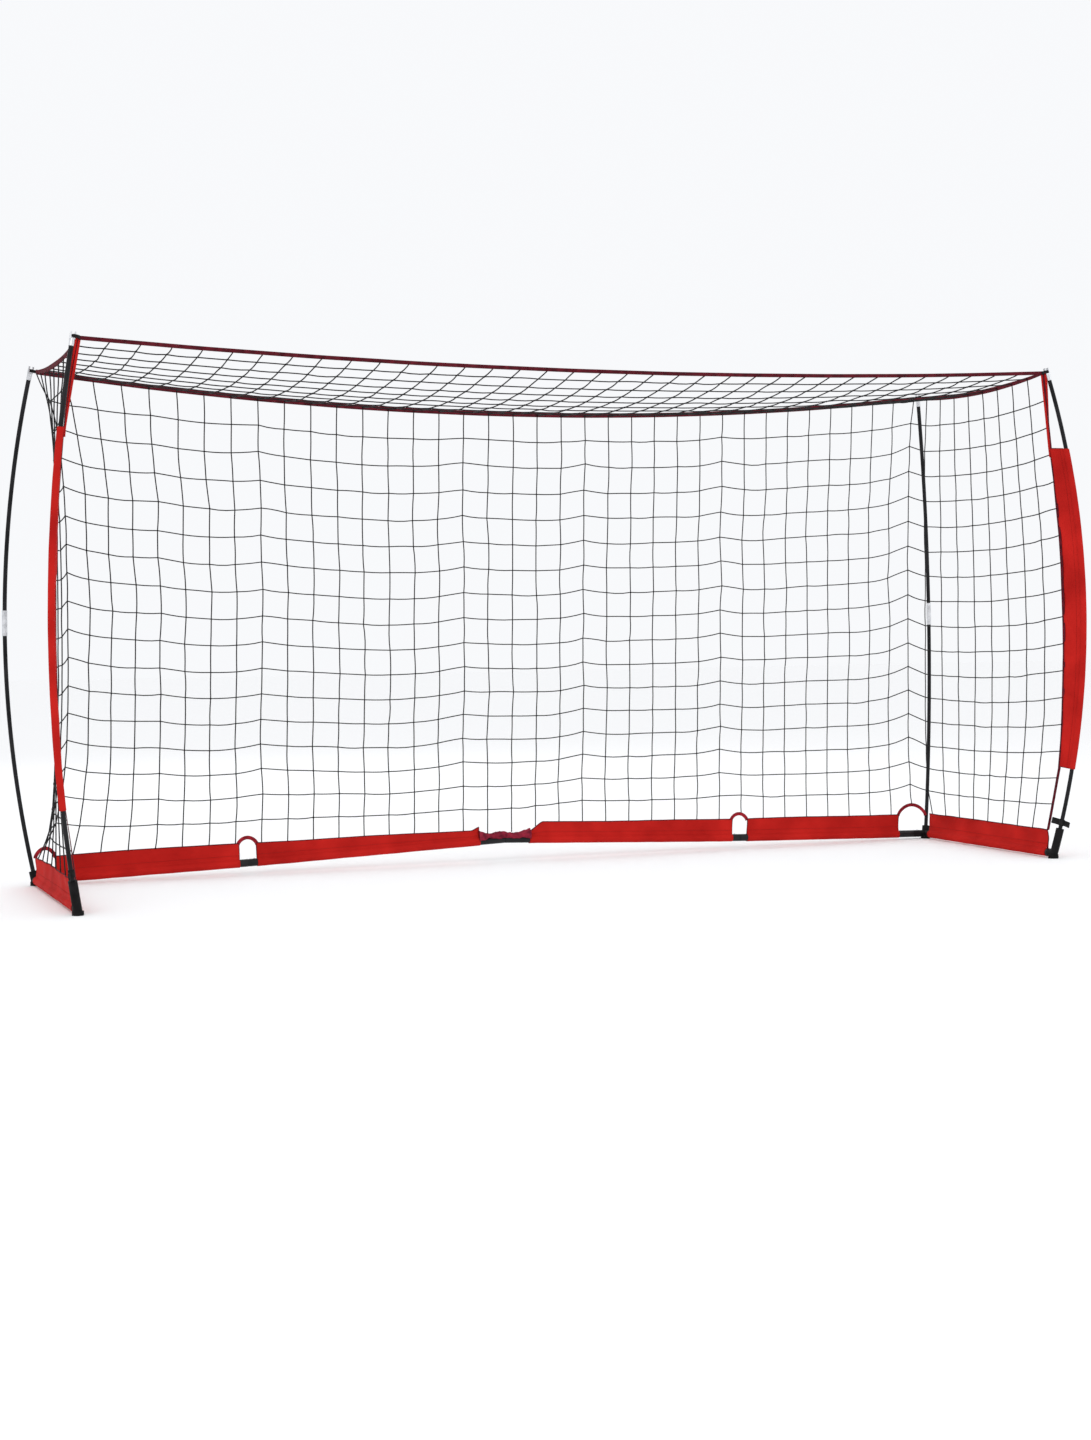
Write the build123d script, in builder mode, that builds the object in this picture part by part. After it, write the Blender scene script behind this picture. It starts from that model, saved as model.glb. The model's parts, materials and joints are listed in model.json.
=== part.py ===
from build123d import *
import math
import os

# Portable bow-style goal with a net, 12 ft x 6 ft, in millimetres.
# X runs along the crossbar, the open mouth faces -Y, Z is up.
# The origin is on the ground under the centre of the goal.

# Driving dimensions
goal_width = 3658.0          # over the outer faces of the two side tubes
goal_depth = 914.0           # between the front and rear pole feet
goal_height = 1829.0         # ground to the tips of the poles
mesh = 101.6                 # pitch of the net's square meshes
cord = 3.2                   # thickness of a net cord

# Ground tubes
tube_r = 14.0
tube_wall = 1.5
tube_z = 20.0                # height of the tubes' centreline at the corners
spigot_r = 12.4
spigot_reach = 80.0          # how far a spigot enters each tube
collar = 58.0                # elbow arm between a corner and the end of its tube
quarter_x = 1000.0           # from the centre joint to where the inner and outer rear tubes meet
run_shift = -45.0            # the rear run's joints stand off the middle: its outer tubes differ in length
quarter_lift = 22.0          # the taut net lifts the rear run off the ground
centre_lift = 62.0
butt_gap = 3.0               # between two butted tubes, which meet at a slight kink

# Bent poles
pole_r = 7.5
pole_bow = 125.0             # bow of a pole's centreline away from its chord
bow_azimuth = math.radians(45)
pole_foot_z = 10.0
top_inset = 25.0             # the net pulls the pole tips this far together
socket_r = 15.0
socket_bore_r = 8.0
socket_floor = 6.0
front_socket_length = 105.0
rear_socket_length = 42.0
foot_r = 19.0
foot_height = 14.0
socket_arm = 26.0            # stub on a front socket, from the pole's foot to the side tube's end
ferrule_r = 9.5
ferrule_bore_r = 7.6
ferrule_start = 885.0
ferrule_length = 90.0
tip_length = 48.0
tip_barrel_r = 8.8
tine_thick = 5.0
tine_slot = 9.0
tine_depth = 13.0
tine_height = 26.0
tine_round = 2.0
slot_floor = 5.0             # solid metal left under the slot of a fork
rod_gap = 0.5                # between two rods, and between a rod and its socket's floor

# Rivets
rivet_shank_r = 2.4
rivet_head_r = 5.0
rivet_head = 2.4
rivet_fit = 0.1
rivet_depth = 9.0            # lower end of a shank above the tube's centreline
fitting_rivet_depth = 0.5
quarter_rivet = 20.0         # distance of a quarter coupling's rivet from the joint
centre_rivet = 42.0
collar_rivet = 40.0
socket_rivet = 21.0

# Elastic loops that hook the net's top corners on the forks
loop_thick = 4.5
loop_wall = 3.0
loop_length = 44.0
loop_play = 2.0              # room for the tine in the loop
loop_past = 3.6              # how far a loop reaches past the fork's axis, in its slot
loop_seat = 11.0             # height of a loop above the fork's foot

# Fabric and webbing
band_height = 84.0           # top of a ground sleeve above the tube's centreline
fabric = 1.2
fin = 2.4                    # two layers of sleeve fabric, sewn flat
sleeve_slack = 0.4
side_sleeve_start = 35.0     # from a pole's foot to the end of a side sleeve
gap_half = 33.0              # half of the opening over a quarter coupling
centre_gap_half = 100.0
corner_gap = {-1: 72.0, 1: 130.0}     # open stretch beside the left and the right rear corner
pole_sleeve_r = 11.2
pole_sleeve_width = 82.0
pole_sleeve_azimuth = math.radians(30)
pole_sleeve_low = 335.0
pole_sleeve_high = 1533.0
strap_z = 1803.0             # centre of the straps at the pole tips
front_strap = 16.0
rear_strap = 18.0
strap_thick = 3.0
strap_gap = 4.0              # between a strap's end and the loop that holds it
front_sag = 50.0
roof_sag = 80.0
rear_sag = 110.0

# Straps round the front poles
tie_at = 126.0
tie_clear = 4.0
tie_reach = 46.0
tie_thick = 2.5
tie_height = 18.0

# Webbing arches over the gaps in the ground sleeves
arch_depth = 12.0
arch_thick = 3.0
arch_foot = 2.0              # clearance of an arch's legs over the tube
arch_shoulder = 32.0         # height of an arch's round top
corner_arch_near = 24.0      # from the corner to the end of its arch
corner_arch_low = 88.0
corner_arch_high = {-1: 112.0, 1: 134.0}
corner_arch_end = 102.0

# Net
rows_high = 17
net_clear = 3.0
smallest_mesh = 12.0         # cut meshes at the edges that are lower than this are closed
step_run = 4.0
roof_margin = 20.0
roof_overrun = 5.0
binding = 12.0
edge_set_back = 12.0         # of the front edge and the rear edge of a side panel
gusset_front = 24.0
gusset_rear = 12.0
webbing_set_back = 20.0

half_width = goal_width / 2 - tube_r
half_depth = goal_depth / 2
side_names = {-1: "left", 1: "right"}
end_names = {-1: "front", 1: "rear"}

os.makedirs("parts", exist_ok=True)


def save(piece, label):
    """Name a finished piece and write it to its own file."""
    piece.part.label = label
    export_step(piece.part, f"parts/{label}.step")


# ---------------------------------------------------------------- geometry of the frame

def corner(side):
    return Vector(side * half_width, half_depth, tube_z)


def quarter(side):
    return Vector(side * quarter_x + run_shift, half_depth, tube_z + quarter_lift)


centre = Vector(run_shift, half_depth, tube_z + centre_lift)


def along(start, end, distance):
    """Section plane across a ground tube, its local x to the rear of the goal and y up."""
    direction = (end - start).normalized()
    level = Vector(0, 1, 0) if abs(direction.X) > 0.5 else Vector(1, 0, 0)
    return Plane(start + direction * distance, x_dir=level, z_dir=direction)


def up_side(plane):
    """Direction, in a section plane's local y, that points up."""
    return 1 if plane.y_dir.Z > 0 else -1


class Pole:
    """Centreline of one bent pole: an arc that bows out diagonally over its corner."""

    def __init__(self, side, end):
        self.side = side
        self.end = end
        self.name = f"{end_names[end]}_{side_names[side]}"
        foot = Vector(side * half_width, end * half_depth, pole_foot_z)
        tip = Vector(side * (half_width - top_inset), end * half_depth, goal_height)
        chord = tip - foot
        self.up = chord.normalized()
        bow = Vector(side * math.sin(bow_azimuth), end * math.cos(bow_azimuth), 0)
        self.out = (bow - self.up * bow.dot(self.up)).normalized()
        self.radius = (chord.length ** 2 / 4 + pole_bow ** 2) / (2 * pole_bow)
        self.centre = foot + chord * 0.5 - self.out * (self.radius - pole_bow)
        self.turn = self.out.cross(self.up)
        self.half_angle = math.asin(chord.length / 2 / self.radius)
        self.length = 2 * self.half_angle * self.radius
        self.axis = Axis(self.centre, self.turn)

    def station(self, distance, x_dir=None):
        """Plane across the pole at a distance along it from its foot."""
        angle = distance / self.radius - self.half_angle
        radial = self.out * math.cos(angle) + self.up * math.sin(angle)
        tangent = self.up * math.cos(angle) - self.out * math.sin(angle)
        place = self.centre + radial * self.radius
        if x_dir is not None:
            radial = (x_dir - tangent * x_dir.dot(tangent)).normalized()
        return Plane(place, x_dir=radial, z_dir=tangent)

    def sweep_degrees(self, length):
        return math.degrees(length / self.radius)


# ---------------------------------------------------------------- ground frame

def tube(label, start, end, begin, finish, rivets=()):
    """Hollow ground tube between two distances from start, with a hole for each rivet."""
    with BuildPart() as piece:
        with BuildSketch(along(start, end, begin)):
            Circle(tube_r)
            Circle(tube_r - tube_wall, mode=Mode.SUBTRACT)
        extrude(amount=finish - begin)
        for distance in rivets:
            rivet_hole(along(start, end, distance))
    save(piece, label)


def rivet_plane(section):
    """Plane whose z points up out of a tube, at the tube's centreline."""
    return Plane(section.origin, x_dir=section.z_dir, z_dir=section.y_dir * up_side(section))


def rivet_hole(section):
    with Locations(rivet_plane(section)):
        Cylinder(
            rivet_shank_r + rivet_fit,
            tube_r + tube_wall,
            align=(Align.CENTER, Align.CENTER, Align.MIN),
            mode=Mode.SUBTRACT,
        )


def rivet(plane, base):
    """Blind rivet: a shank from its base and a low conical head on the tube's outside."""
    level = (Align.CENTER, Align.CENTER, Align.MIN)
    seat = tube_r + rivet_fit
    with Locations(plane.offset(base)):
        Cylinder(rivet_shank_r, seat - base, align=level)
    with Locations(plane.offset(seat)):
        Cone(rivet_head_r, rivet_head_r * 0.55, rivet_head, align=level)


for side in (-1, 1):
    name = side_names[side]
    run = (corner(side) - quarter(side)).length
    tube(
        f"rear_tube_{name}_outer",
        quarter(side),
        corner(side),
        butt_gap / 2,
        run - collar - butt_gap,
    )
    inner = (quarter(side) - centre).length
    tube(
        f"rear_tube_{name}_inner",
        quarter(side),
        centre,
        butt_gap / 2,
        inner - butt_gap / 2,
        (quarter_rivet, inner - centre_rivet) if side < 0 else (quarter_rivet,),
    )
    front_end = Vector(side * half_width, -half_depth, tube_z)
    tube(
        f"side_tube_{name}",
        front_end,
        corner(side),
        socket_arm + butt_gap / 2,
        goal_depth - collar - butt_gap,
    )


def spigot(label, fixed_end, joint, sliding_end, rivet_at):
    """Bent spigot: one half is riveted into a tube and the other slides in the next tube."""
    with BuildPart() as piece:
        for end in (fixed_end, sliding_end):
            with BuildSketch(along(joint, end, 0)):
                Circle(spigot_r)
            extrude(amount=spigot_reach)
        with Locations(joint):
            Sphere(spigot_r)
        rivet_hole(along(joint, fixed_end, rivet_at))
    save(piece, label)


spigot("coupling_spigot_left", centre, quarter(-1), corner(-1), quarter_rivet)
spigot("coupling_spigot_right", centre, quarter(1), corner(1), quarter_rivet)
spigot("coupling_spigot_centre", quarter(-1), centre, quarter(1), centre_rivet)

with BuildPart() as coupling_rivets_left:
    rivet(rivet_plane(along(quarter(-1), centre, quarter_rivet)), rivet_depth)
    rivet(rivet_plane(along(centre, quarter(-1), centre_rivet)), rivet_depth)
save(coupling_rivets_left, "coupling_rivets_left")

with BuildPart() as coupling_rivets_right:
    rivet(rivet_plane(along(quarter(1), centre, quarter_rivet)), rivet_depth)
save(coupling_rivets_right, "coupling_rivets_right")


def socket_body(pole, length, arms):
    """Cup for a pole's foot on a round pad, with solid arms that carry spigots."""
    foot = pole.station(0).origin
    with Locations(Vector(foot.X, foot.Y, 0)):
        Cylinder(foot_r, foot_height, align=(Align.CENTER, Align.CENTER, Align.MIN))
    turn = pole.sweep_degrees(length)
    with BuildSketch(pole.station(0)) as cup:
        Circle(socket_r)
    revolve(cup.sketch, axis=pole.axis, revolution_arc=turn)
    for start, end, arm, radius in arms:
        with BuildSketch(along(start, end, 0)) as arm_end:
            Circle(radius)
        extrude(arm_end.sketch, amount=arm)
    with BuildSketch(pole.station(socket_floor)) as bore:
        Circle(socket_bore_r)
    revolve(bore.sketch, axis=pole.axis, revolution_arc=turn, mode=Mode.SUBTRACT)


for side in (-1, 1):
    name = side_names[side]
    front_end = Vector(side * half_width, -half_depth, tube_z)
    with BuildPart() as corner_fitting:
        socket_body(
            Pole(side, 1),
            rear_socket_length,
            (
                (corner(side), quarter(side), collar, tube_r),
                (corner(side), quarter(side), collar + spigot_reach, spigot_r),
                (corner(side), front_end, collar, tube_r),
                (corner(side), front_end, collar + spigot_reach, spigot_r),
            ),
        )
        rivet_hole(along(corner(side), quarter(side), collar_rivet))
    save(corner_fitting, f"corner_fitting_{name}")

    with BuildPart() as front_socket:
        socket_body(
            Pole(side, -1),
            front_socket_length,
            (
                (front_end, corner(side), socket_arm, tube_r),
                (front_end, corner(side), socket_arm + spigot_reach, spigot_r),
            ),
        )
        rivet_hole(along(front_end, corner(side), socket_rivet))
    save(front_socket, f"front_socket_{name}")

    with BuildPart() as fitting_rivets:
        rivet(rivet_plane(along(corner(side), quarter(side), collar_rivet)), fitting_rivet_depth)
        rivet(rivet_plane(along(front_end, corner(side), socket_rivet)), fitting_rivet_depth)
    save(fitting_rivets, f"fitting_rivets_{name}")


# ---------------------------------------------------------------- poles

for side in (-1, 1):
    for end in (-1, 1):
        pole = Pole(side, end)
        joint_at = ferrule_start + ferrule_length * 0.45
        rod_top = pole.length - tine_height
        spans = (
            ("pole_lower", socket_floor + rod_gap, joint_at),
            ("pole_upper", joint_at + rod_gap, rod_top),
        )
        for label, begin, finish in spans:
            with BuildPart() as rod:
                with BuildSketch(pole.station(begin)):
                    Circle(pole_r)
                revolve(axis=pole.axis, revolution_arc=pole.sweep_degrees(finish - begin))
            save(rod, f"{label}_{pole.name}")

        with BuildPart() as ferrule:
            with BuildSketch(pole.station(ferrule_start)):
                Circle(ferrule_r)
                Circle(ferrule_bore_r, mode=Mode.SUBTRACT)
            revolve(axis=pole.axis, revolution_arc=pole.sweep_degrees(ferrule_length))
        save(ferrule, f"pole_ferrule_{pole.name}")

        across = Vector(1, 0, 0)
        with BuildPart() as tip:
            barrel = tip_length - tine_height
            with BuildSketch(pole.station(rod_top - barrel)):
                Circle(tip_barrel_r)
                Circle(ferrule_bore_r, mode=Mode.SUBTRACT)
            revolve(axis=pole.axis, revolution_arc=pole.sweep_degrees(barrel + rod_gap))
            fork = pole.station(rod_top + rod_gap, across)
            with BuildSketch(fork):
                RectangleRounded(tine_slot + 2 * tine_thick, tine_depth, tine_round)
            extrude(amount=tine_height)
            with BuildSketch(Plane(fork.origin, x_dir=fork.x_dir, z_dir=fork.y_dir)):
                with Locations((0, -tine_height - slot_floor)):
                    SlotOverall(2 * tine_height, tine_slot, rotation=90)
            extrude(amount=tine_depth, both=True, mode=Mode.SUBTRACT)
        save(tip, f"pole_tip_{pole.name}")

        with BuildPart() as loop:
            seat = pole.station(rod_top + loop_seat, across)
            loop_centre = -side * (loop_length / 2 - loop_past)
            inside = tine_depth + loop_play
            with BuildSketch(seat):
                with Locations((loop_centre, 0)):
                    SlotOverall(loop_length, inside + 2 * loop_wall)
                    SlotOverall(loop_length - 2 * loop_wall, inside, mode=Mode.SUBTRACT)
            extrude(amount=loop_thick)
        save(loop, f"corner_loop_{pole.name}")


# ---------------------------------------------------------------- sewn sleeves

def ground_sleeve(label, start, end, begin, finish):
    """Fabric sleeve: a loop round a ground tube with a flat double band standing on it."""
    section = along(start, end, begin)
    stand = up_side(section)
    with BuildPart() as piece:
        with BuildSketch(section):
            Circle(tube_r + sleeve_slack + fabric)
            with Locations((0, stand * (tube_r + band_height) / 2)):
                Rectangle(fin, band_height - tube_r)
            Circle(tube_r + sleeve_slack, mode=Mode.SUBTRACT)
        extrude(amount=finish - begin)
    save(piece, label)


for side in (-1, 1):
    name = side_names[side]
    outer = (corner(side) - quarter(side)).length
    inner = (quarter(side) - centre).length
    ground_sleeve(
        f"rear_ground_sleeve_{name}_outer",
        quarter(side),
        corner(side),
        gap_half,
        outer - corner_gap[side],
    )
    ground_sleeve(
        f"rear_ground_sleeve_{name}_inner",
        quarter(side),
        centre,
        gap_half,
        inner - centre_gap_half,
    )
    ground_sleeve(
        f"side_ground_sleeve_{name}",
        Vector(side * half_width, -half_depth, tube_z),
        corner(side),
        side_sleeve_start,
        goal_depth - side_sleeve_start,
    )

    pole = Pole(side, -1)
    section = pole.station(pole_sleeve_low)
    inward = Vector(
        -side * math.sin(pole_sleeve_azimuth),
        math.cos(pole_sleeve_azimuth),
        0,
    )
    heading = math.degrees(math.atan2(inward.dot(section.y_dir), inward.dot(section.x_dir)))
    with BuildPart() as pole_sleeve:
        with BuildSketch(section):
            Circle(pole_sleeve_r)
            with Locations(Location((0, 0), heading)):
                Rectangle(pole_sleeve_width, fin, align=(Align.MIN, Align.CENTER))
            Circle(pole_sleeve_r - fabric, mode=Mode.SUBTRACT)
        revolve(
            axis=pole.axis,
            revolution_arc=pole.sweep_degrees(pole_sleeve_high - pole_sleeve_low),
        )
    save(pole_sleeve, f"pole_sleeve_{name}")

    tie_width = 2 * (pole_r + tie_clear)
    seat = pole.station(tie_at)
    with BuildPart() as pole_tie:
        with BuildSketch(seat):
            with Locations(Location((0, 0), heading)):
                with Locations((tie_reach / 2 - tie_width / 2, 0)):
                    SlotOverall(tie_reach, tie_width)
                    SlotOverall(
                        tie_reach - 2 * tie_thick, tie_width - 2 * tie_thick, mode=Mode.SUBTRACT
                    )
        extrude(amount=tie_height)
    save(pole_tie, f"pole_tie_{name}")


# ---------------------------------------------------------------- webbing arches over the gaps

def gap_arch(label, start, end, middle, half, rise):
    """Inverted U of webbing that borders the opening over a coupling."""
    section = along(start, end, middle)
    up = section.y_dir * up_side(section)
    frame = Plane(section.origin, x_dir=section.z_dir, z_dir=section.z_dir.cross(up))
    low = tube_r + arch_foot
    shoulder = rise - arch_shoulder
    with BuildPart() as piece:
        with BuildSketch(frame):
            for reach, top, mode in (
                (half, rise, Mode.ADD),
                (half - arch_thick, rise - arch_thick, Mode.SUBTRACT),
            ):
                with BuildLine():
                    Polyline((-reach, shoulder), (-reach, low), (reach, low), (reach, shoulder))
                    ThreePointArc((-reach, shoulder), (0, top), (reach, shoulder))
                make_face(mode=mode)
        extrude(amount=arch_depth / 2, both=True)
    save(piece, label)


arch_rise = band_height - arch_thick
gap_arch("gap_arch_left", quarter(-1), centre, 0, gap_half - 1, arch_rise)
gap_arch("gap_arch_right", quarter(1), centre, 0, gap_half - 1, arch_rise)
gap_arch("gap_arch_centre", centre, quarter(-1), 0, centre_gap_half - arch_thick, arch_rise)

for side in (-1, 1):
    near = side * (half_width - corner_arch_near)
    far = side * (half_width - corner_gap[side] + arch_thick)
    peak = (near + far) / 2
    with BuildPart() as corner_arch:
        with BuildSketch(Plane.XZ.offset(-half_depth)):
            with BuildLine():
                arcs = [
                    ThreePointArc(
                        (near, corner_arch_low - drop),
                        (peak, corner_arch_high[side] - drop),
                        (far, corner_arch_end - drop),
                    )
                    for drop in (0, arch_thick)
                ]
                for place in (0, 1):
                    Line(arcs[0] @ place, arcs[1] @ place)
            make_face()
        extrude(amount=arch_depth / 2, both=True)
    save(corner_arch, f"corner_arch_{side_names[side]}")


# ---------------------------------------------------------------- straps at the top

strap_end = half_width - top_inset - loop_length - strap_gap


def top_strap(label, y, width, sag):
    """Webbing band on edge, sagging between two pole tips."""
    with BuildPart() as piece:
        with BuildSketch(Plane.XZ.offset(-y)):
            with BuildLine():
                arcs = [
                    ThreePointArc(
                        (-strap_end, strap_z + level),
                        (0, strap_z + level - sag),
                        (strap_end, strap_z + level),
                    )
                    for level in (width / 2, -width / 2)
                ]
                for place in (0, 1):
                    Line(arcs[0] @ place, arcs[1] @ place)
            make_face()
        extrude(amount=strap_thick / 2, both=True)
    save(piece, label)


top_strap("crossbar_strap", -half_depth, front_strap, front_sag)
top_strap("rear_top_strap", half_depth, rear_strap, rear_sag)


# ---------------------------------------------------------------- net panels

net_low = tube_z + band_height + net_clear
side_lean = math.atan(top_inset / (goal_height - pole_foot_z))
panel_top = strap_z - rear_strap / 2 - net_clear


def side_plane(side):
    """Plane of a side panel: local x runs to the rear and y climbs, leaning inwards."""
    climb = Vector(-side * math.sin(side_lean), 0, math.cos(side_lean))
    rearward = Vector(0, 1, 0)
    return Plane(
        Vector(side * half_width, 0, tube_z),
        x_dir=rearward,
        z_dir=rearward.cross(climb),
    )


def lattice(plane, outline, columns, rows, low, high):
    """Sketch of a net panel: the outline with square meshes left open between the cords.

    low and high give the panel's lower and upper edges at a place across it.
    """
    meshes = []
    for column in range(columns):
        near = (column - columns / 2) * mesh + cord / 2
        far = near + mesh - cord
        for row in range(rows):
            foot = low(0) + row * mesh + cord / 2
            head = foot + mesh - cord
            feet = [max(foot, low(x) + cord) for x in (near, far)]
            heads = [min(head, high(x) - cord) for x in (near, far)]
            if min(heads[0] - feet[0], heads[1] - feet[1]) > smallest_mesh:
                corners = [(near, feet[0]), (far, feet[1]), (far, heads[1]), (near, heads[0])]
                meshes.append(Wire.make_polygon(corners))
    with BuildSketch(plane) as panel:
        add(Face(outline.wire(), meshes))
    return panel.sketch


rear_columns = round(2 * half_width / mesh)
depth_columns = round(goal_depth / mesh)
edge_low = half_width - net_clear
edge_high = half_width - top_inset - net_clear
raised_low = corner_arch_high[1] + net_clear
step_x = {side: half_width - corner_gap[side] - step_run for side in (-1, 1)}


def sag_at(x, sag):
    """Depth of a sagging line below its ends, which are at the panels' edges."""
    return sag * (1 - (x / edge_high) ** 2)


def rear_low(x):
    """Lower edge of the rear panel, on the sleeves that rise to the centre joint."""
    if abs(x) > step_x[1 if x > 0 else -1] - mesh:
        return raised_low
    off = min(abs(x - run_shift), quarter_x)
    return net_low + centre_lift + (quarter_lift - centre_lift) * off / quarter_x


def rear_high(x):
    return panel_top - sag_at(x, rear_sag) - cord


with BuildPart() as net_rear:
    with BuildLine() as rear_edge:
        Polyline(
            (-edge_high, panel_top),
            (-edge_low, raised_low),
            (-step_x[-1], raised_low),
            (-step_x[-1] + step_run, net_low + step_run),
            (quarter(-1).X, net_low + quarter_lift),
            (centre.X, net_low + centre_lift),
            (quarter(1).X, net_low + quarter_lift),
            (step_x[1] - step_run, net_low + step_run),
            (step_x[1], raised_low),
            (edge_low, raised_low),
            (edge_high, panel_top),
        )
        ThreePointArc((-edge_high, panel_top), (0, panel_top - rear_sag), (edge_high, panel_top))
    extrude(
        lattice(
            Plane.XZ.offset(-half_depth),
            rear_edge,
            rear_columns - 1,
            rows_high,
            rear_low,
            rear_high,
        ),
        amount=cord / 2,
        both=True,
    )
save(net_rear, "net_rear")

roof_half = half_depth - 2 * net_clear
with BuildPart() as net_roof:
    with BuildLine() as roof_edge:
        Polyline(
            (-edge_high, -roof_half),
            (edge_high, -roof_half),
            (edge_high, roof_half),
            (-edge_high, roof_half),
            close=True,
        )
    extrude(
        lattice(
            Plane.XY.offset(panel_top - roof_sag - roof_margin),
            roof_edge,
            rear_columns - 1,
            depth_columns,
            lambda x: -roof_half,
            lambda x: roof_half,
        ),
        amount=roof_sag + 2 * roof_margin,
    )
    with BuildSketch(Plane.XZ):
        with BuildLine():
            arcs = [
                ThreePointArc(
                    (-edge_high - roof_overrun, panel_top + level),
                    (0, panel_top + level - roof_sag),
                    (edge_high + roof_overrun, panel_top + level),
                )
                for level in (0, cord)
            ]
            for place in (0, 1):
                Line(arcs[0] @ place, arcs[1] @ place)
        make_face()
    extrude(amount=half_depth, both=True, mode=Mode.INTERSECT)
save(net_roof, "net_roof")

webbing_end = half_depth - webbing_set_back
front_edge = -half_depth + edge_set_back
web_high = strap_z + front_strap / 2 - tube_z
web_low = net_low - tube_z

for side in (-1, 1):
    name = side_names[side]
    panel_high = web_high - gusset_front - net_clear
    panel_front = front_edge + binding + net_clear
    panel_rear = half_depth - edge_set_back
    rise = (panel_high - (web_high - gusset_rear - net_clear)) / (panel_front - panel_rear)
    with BuildPart() as net_side:
        with BuildLine() as side_edge:
            Polyline(
                (panel_front, web_low),
                (panel_rear, web_low),
                (panel_rear, web_high - gusset_rear - net_clear),
                (panel_front, panel_high),
                close=True,
            )
        extrude(
            lattice(
                side_plane(side),
                side_edge,
                depth_columns - 1,
                rows_high,
                lambda y: web_low,
                lambda y: panel_high + rise * (y - panel_front),
            ),
            amount=cord / 2,
            both=True,
        )
    save(net_side, f"net_side_{name}")

    with BuildPart() as side_webbing:
        with BuildSketch(side_plane(side)):
            with BuildLine():
                Polyline(
                    (front_edge, web_low),
                    (front_edge + binding, web_low),
                    (front_edge + binding, web_high - gusset_front),
                    (webbing_end, web_high - gusset_rear),
                    (webbing_end, web_high),
                    (front_edge, web_high),
                    close=True,
                )
            make_face()
        extrude(amount=strap_thick / 2, both=True)
    save(side_webbing, f"side_webbing_{name}")
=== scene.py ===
import json
import math

import bpy
import numpy as np
from mathutils import Matrix, Vector


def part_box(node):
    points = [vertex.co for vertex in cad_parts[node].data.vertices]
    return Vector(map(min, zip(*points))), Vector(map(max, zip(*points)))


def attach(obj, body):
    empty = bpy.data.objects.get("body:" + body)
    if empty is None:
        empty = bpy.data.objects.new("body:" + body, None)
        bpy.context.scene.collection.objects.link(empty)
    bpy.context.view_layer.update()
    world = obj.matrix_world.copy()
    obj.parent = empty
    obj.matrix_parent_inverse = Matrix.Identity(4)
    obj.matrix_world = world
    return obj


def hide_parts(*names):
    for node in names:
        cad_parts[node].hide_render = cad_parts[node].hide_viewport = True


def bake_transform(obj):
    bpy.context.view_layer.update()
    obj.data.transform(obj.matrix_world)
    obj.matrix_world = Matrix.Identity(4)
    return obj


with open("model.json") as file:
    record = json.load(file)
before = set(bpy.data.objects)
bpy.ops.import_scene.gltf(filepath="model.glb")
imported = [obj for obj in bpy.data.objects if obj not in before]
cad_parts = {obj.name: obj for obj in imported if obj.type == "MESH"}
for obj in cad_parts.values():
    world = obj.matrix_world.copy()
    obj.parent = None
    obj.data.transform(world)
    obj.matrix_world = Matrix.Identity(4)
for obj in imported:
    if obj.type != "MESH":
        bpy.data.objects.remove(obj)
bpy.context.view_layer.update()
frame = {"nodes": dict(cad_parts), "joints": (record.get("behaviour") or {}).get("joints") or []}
rng = np.random.default_rng(7)

# ---------------------------------------------------------------- sizes taken from the frame

SIDES = {-1: "left", 1: "right"}
ENDS = {-1: "front", 1: "rear"}
UP = np.array([0.0, 0.0, 1.0])
RIGHT = np.array([1.0, 0.0, 0.0])
BACK = np.array([0.0, 1.0, 0.0])


def middle(node):
    low, high = (np.array(c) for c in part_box(node))
    return (low + high) / 2


HALF_WIDTH = middle("side_tube_right")[0]
TUBE_Z = middle("side_tube_right")[2]
HALF_DEPTH = middle("rear_tube_right_outer")[1]
TUBE_R = (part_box("side_tube_right")[1][0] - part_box("side_tube_right")[0][0]) / 2
BAND_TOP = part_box("side_ground_sleeve_right")[1][2] - TUBE_Z
CENTRE_X = middle("gap_arch_centre")[0]
QUARTER_X = middle("gap_arch_right")[0] - CENTRE_X
CENTRE_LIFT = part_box("rear_tube_left_inner")[1][2] - TUBE_R - TUBE_Z
QUARTER_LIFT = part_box("rear_tube_left_outer")[1][2] - TUBE_R - TUBE_Z
GAP_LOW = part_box("rear_ground_sleeve_left_inner")[1][0]      # the open stretch over the centre coupling
GAP_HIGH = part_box("rear_ground_sleeve_right_inner")[0][0]
POLE_FOOT_Z = 0.010

# The net: how many meshes it has, how its edges hang, and its cords.
MESH_COLUMNS, MESH_ROWS, MESH_DEPTH = 36, 17, 9
CROSSBAR_SAG = 0.050
REAR_SAG = 0.110
REAR_PULL = 0.040            # the taut roof pulls the middle of the rear strap forwards
SIDE_SAG = 0.026
NET_R = 0.0022
KNOT_R = 0.0030
KNOT_LOAD = 0.0045           # a knot's weight against the pull of one cord
KNOT_FIRM = 0.08             # how firmly a knot keeps its own place, against the pull of one cord
FOLD_FIRM = 0.55             # the same on the folds between the rear and the side panels
FRONT_FOOT_SETBACK = 0.034
CORNER_SETBACK = 0.040

# Sleeves on the front poles: where they run along the pole, and the way their fins point.
SLEEVE_LOW, SLEEVE_HIGH = 0.335, 1.533
POLE_SLEEVE_AZIMUTH = {-1: math.radians(17), 1: math.radians(30)}
SLEEVE_TILT = 0.016          # the fin's upper end stands above the pole's
SLEEVE_TILT_REACH = 0.25

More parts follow.
